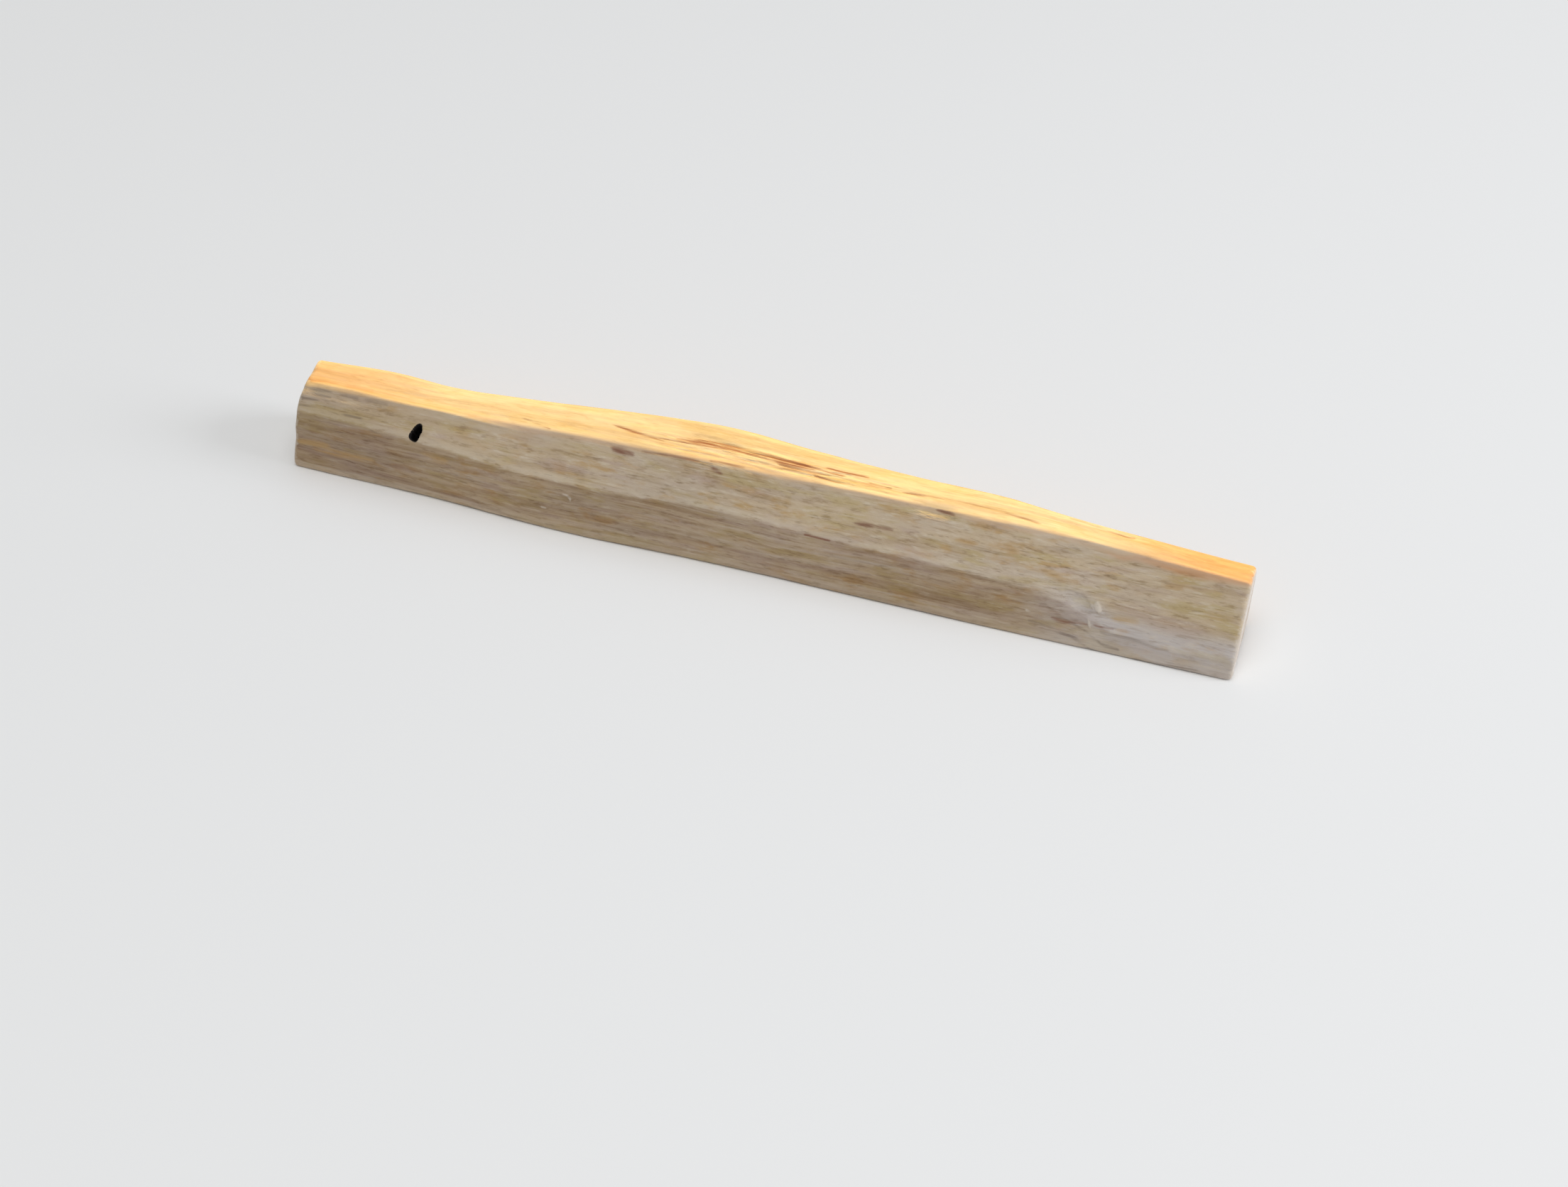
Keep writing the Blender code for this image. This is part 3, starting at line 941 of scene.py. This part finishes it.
# %% [markdown]
# ### The sides
#
# The steep lower side is painted darker and browner than the upper one, as painted shade, and
# shows long fine strands. It is darkened, not covered, so the grain that is already laid stays
# visible. A pale line along the ridge is a painted highlight, strongest at the left. Then come
# the two ends: the left one painted darker as painted shade, and the right one painted
# lighter and greyer as painted cool light.

# %% The lower side, painted darker as shade
# painted shade: this colour darkens the lower side and the front sides near the left end
SHADED_SIDE = linear("#A88F76")

lower_side = [
    add("MapRange", [stored["above_ridge"], 0.05, -0.45], interpolation_type="SMOOTHSTEP"),
    add("MapRange", [stored["above_ridge"], -7.5, -6.0], interpolation_type="SMOOTHSTEP"),
    add("MapRange", [stored["painted_cool_light"], 0.0, 1.0, 1.0, 0.75], interpolation_type="SMOOTHSTEP"),
]
strands = pattern(30, 0.62, 0.62, detail=3.0, rough=0.62, shift=110)
# painted shade on the lower side, darker along the fine strands
colour = wash(colour, SHADED_SIDE, strands, 0.60, 0.32, most=0.58, least=0.36,
              within=lower_side, blend_type="MULTIPLY")
colour = wash(colour, GREY_AND_COOL_LIGHT, strands, 0.54, 0.74, most=0.22, within=lower_side)
print("lower side laid")

# %% The ridge's painted highlight, and painted shade and light at the two ends
# painted highlight: a pale line along the ridge, strongest at the left, fading out to the right
edge = roughen(stored["above_ridge"], fine, 1.2)
below_top_edge = add("MapRange", [edge, 0.85, 0.15], interpolation_type="SMOOTHSTEP")
fades_right = add("MapRange", [down_trunk, 40.0, 5.0], interpolation_type="SMOOTHSTEP")
colour = wash(colour, PALE_FIBRE, edge, -0.20, 0.10, most=0.36, within=[below_top_edge, fades_right])
# painted shade: the front sides near the left end darkened
colour = wash(colour, SHADED_SIDE, stored["painted_left_shade"], most=0.22, fade="LINEAR", blend_type="MULTIPLY")
# painted cool light: the right end of the lower side painted lighter and greyer
colour = wash(colour, GREY_AND_COOL_LIGHT, stored["painted_cool_light"], most=0.34, fade="LINEAR")
print("sides laid")

# %% [markdown]
# ### The marks
#
# Painted highlights and painted warm shade among the torn strands in the middle of the top
# are laid first, then painted warm light on the top and the worn corners, then the lines,
# from the faintest kind to the darkest. Along their length the lines fade and come back, as
# a stain that has soaked into fibres does.

# %% The splintered top's painted highlight and shade, painted warm light and worn corners
# pale torn wood, also used as a painted highlight on the splintered top
TORN_PALE_AND_HIGHLIGHT = linear("#E0D4C4")
WARM_SHADE_STREAK = linear("#B27A48")
WARM_LIGHT_TINT = linear("#FFD5B4")

splinter_light_and_shade = pattern(11, 0.6, 0.6, detail=3.0, rough=0.6, shift=130)
splintered = [stored["splintered"]]
# painted warm shade between the torn strands
colour = wash(colour, WARM_SHADE_STREAK, splinter_light_and_shade, 0.52, 0.68, most=0.65, within=splintered)
# painted highlight on the torn strands
colour = wash(colour, TORN_PALE_AND_HIGHLIGHT, splinter_light_and_shade, 0.48, 0.34, most=0.65, within=splintered)
# painted warm light on the top side
colour = wash(colour, WARM_LIGHT_TINT, stored["painted_warm_light"], fade="LINEAR", blend_type="MULTIPLY")
colour = wash(colour, PALE_FIBRE, stored["worn_corner"], most=0.20, fade="LINEAR")
print("top side laid")

# %% The lines, the curls and the hole
RESIN = linear("#82482E")
RED_HEART = linear("#84553F")
GREY_BROWN = linear("#7C6A5C")
HOLE_SHADE = linear("#140D0E")
FRAY_DEPTH = 0.8

fray = pattern(9, 0.40, 0.40, detail=2.0, rough=0.6, shift=70)
soaked = pattern(3.2, 0.40, 0.40, shift=90)
faded = add("MapRange", [soaked, 0.32, 0.52, 0.50, 1.0], interpolation_type="SMOOTHSTEP")
for name, over, soft, most in (
        ("golden_line", GOLDEN, 0.30, 0.55),
        ("grey_line", GREY_BROWN, 0.16, 0.62),
        ("red_line", RED_HEART, 0.22, 0.88),
        ("dark_line", RESIN, 0.15, 0.92)):
    inside = roughen(stored[name], fray, FRAY_DEPTH)
    colour = wash(colour, over, inside, -soft, soft, most=most, within=[faded])
colour = wash(colour, TORN_PALE_AND_HIGHLIGHT, stored["torn_pale"], -0.10, 0.10, most=0.75)
# painted shade: the hole's wall and a thin ring round its rim are painted near black
colour = wash(colour, HOLE_SHADE, stored["bore_hole"], -0.22, -0.08)
print("marks laid")

# %% [markdown]
# ### End grain, heartwood and painted shade on the back
#
# The cut ends show the same wood end on: pale and dusty, with dots where the pores are cut
# and arcs where the rings are. The saw also frays the last half millimetre of each side. The
# heart of this wood is browner than the young outer wood. The rings nearest the middle of
# the log, which show on the underside, belong to it. The back, up to the far edge of the top
# side, is darkened with the same colour as painted shade.

# %% End grain
END_GRAIN = linear("#E9DFD6")
END_ARC = linear("#BFA98C")

end_arcs = pattern(60, 0.9, 16, detail=3.0, rough=0.6, shift=35)
end_colour = wash(END_GRAIN, END_ARC, end_arcs, 0.44, 0.62, most=0.40)
end_dots = pattern(1.0, 0.30, 0.30, detail=2.0, rough=0.6, shift=30)
end_colour = wash(end_colour, END_ARC, end_dots, 0.50, 0.72, most=0.35)
colour = wash(colour, TORN_PALE_AND_HIGHLIGHT, roughen(stored["from_end"], fine, 1.6), 0.45, 0.10, most=0.55)
colour = wash(colour, end_colour, stored["sawn_end"], fade="LINEAR")
print("end grain laid")

# %% Heartwood and painted shade on the back
HEARTWOOD_AND_BACK_SHADE = linear("#C2B4A2")
HEART_RADIUS = 38.0

ring_place = roughen(out, clouds, 1.5)
inner_rings = [ring_place, HEART_RADIUS + 0.6, HEART_RADIUS - 0.6]
inner = add("MapRange", inner_rings, interpolation_type="SMOOTHSTEP")
# painted shade: the back is darkened like the heartwood
back = add("Math", [stored["painted_back_shade"], 0.85], operation="MULTIPLY")
heart_and_back_shade = add("Math", [inner, back], operation="MAXIMUM")
less_on_ends = add("MapRange", [stored["sawn_end"], 0.0, 1.0, 1.0, 0.30], interpolation_type="SMOOTHSTEP")
colour = wash(colour, HEARTWOOD_AND_BACK_SHADE, heart_and_back_shade, within=[less_on_ends], fade="LINEAR", blend_type="MULTIPLY")
wood_links.new(colour, surface.inputs["Base Color"])
print("heartwood laid")

# %% [markdown]
# ### Roughness and fine relief
#
# Dry split wood is matt all over, and only a little less so where a fibre bundle lies bare.
# It has no polish, so it mirrors less than the default specular level would. Relief finer
# than the skin's own points comes from a bump, which is kept faint on the smooth top side
# and the calm corner.

# %% Roughness and bump
FIBRE_BUMP = 0.10
LINE_BUMP = -0.02
PORE_BUMP = -0.025

shine = add("MapRange", [fine, 0.35, 0.70, 0.84, 0.70], interpolation_type="SMOOTHSTEP")
wood_links.new(shine, surface.inputs["Roughness"])
surface.inputs["Specular IOR Level"].default_value = 0.30

line_bump = add("MapRange", [lines, 0.46, 0.66, 0.0, LINE_BUMP], interpolation_type="SMOOTHSTEP")
pore_bump = add("MapRange", [pores, 0.64, 0.76, 0.0, PORE_BUMP], interpolation_type="SMOOTHSTEP")
cut_in = add("Math", [line_bump, pore_bump], operation="ADD")
height = add("Math", [fine, FIBRE_BUMP, cut_in], operation="MULTIPLY_ADD")
shallow = add("MapRange", [stored["smooth_side"], 0.0, 1.0, 1.0, 0.15], interpolation_type="SMOOTHSTEP")
bumped = add("Bump", {"Height": height, "Distance": MM, "Strength": shallow})
wood_links.new(bumped, surface.inputs["Normal"])
skin_mesh.materials.append(wood)
print("the wood has", len(wood_nodes), "nodes")

# %% [markdown]
# ## Hand the stick over
#
# The skin stands for the solid, moves with it, and takes its finish. Two of the lamps are
# told which object they light.

# %% Tie the skin to the solid
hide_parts("palo_santo_stick")
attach(skin, "root")

for lamp, lit in ((warm_box, skin), (floor_box, floor)):
    lit_alone = bpy.data.collections.new("lit_by_" + lamp.name)
    lit_alone.objects.link(lit)
    lamp.light_linking.receiver_collection = lit_alone
print(warm_box.name, "lights the stick alone and", floor_box.name, "the floor alone")
